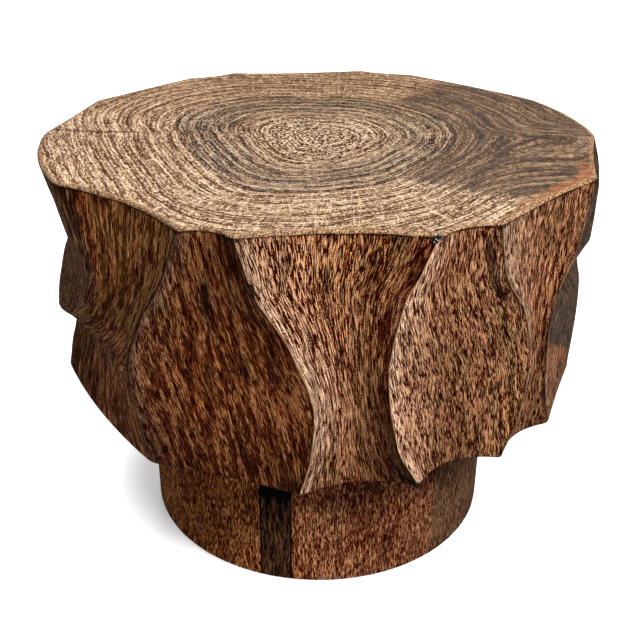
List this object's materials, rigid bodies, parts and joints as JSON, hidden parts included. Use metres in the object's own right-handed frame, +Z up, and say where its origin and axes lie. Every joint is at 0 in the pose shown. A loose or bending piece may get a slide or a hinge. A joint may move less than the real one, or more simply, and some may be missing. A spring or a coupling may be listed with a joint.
{
  "type": "carved side table",
  "caption": "Low round wooden side table: a log drum carved with tall scooped panels and wavy ridges, on a narrower turned plinth.",
  "frame": {"origin": "centre of the felt's underside, on the floor", "axes": "+Z up through the drum's axis; -Y is the front, with the dark stripe a little left of it; +X is to the right seen from the front"},
  "size_m": [0.6068, 0.6044, 0.463],
  "materials": {
    "drum_wood": "open-grained reddish brown hardwood, wire-brushed, oiled, satin",
    "plinth_wood": "the same hardwood, turned and oiled, satin",
    "dark_stripe": "blackened wood strip let into the plinth, satin",
    "dark_filler": "black resin filler, sanded flush",
    "felt": "dark brown felt",
    "zinc_steel": "zinc-plated steel"
  },
  "bodies": {
    "root": {"carved_drum": "drum_wood", "plinth": "plinth_wood", "plinth_stripe": "dark_stripe", "rim_knot_filler": "dark_filler", "ridge_crack_filler": "dark_filler", "ridge_tip_filler": "dark_filler", "base_felt": "felt", "lag_screw_1": "zinc_steel", "lag_screw_2": "zinc_steel", "lag_screw_3": "zinc_steel"}
  },
  "joints": []
}
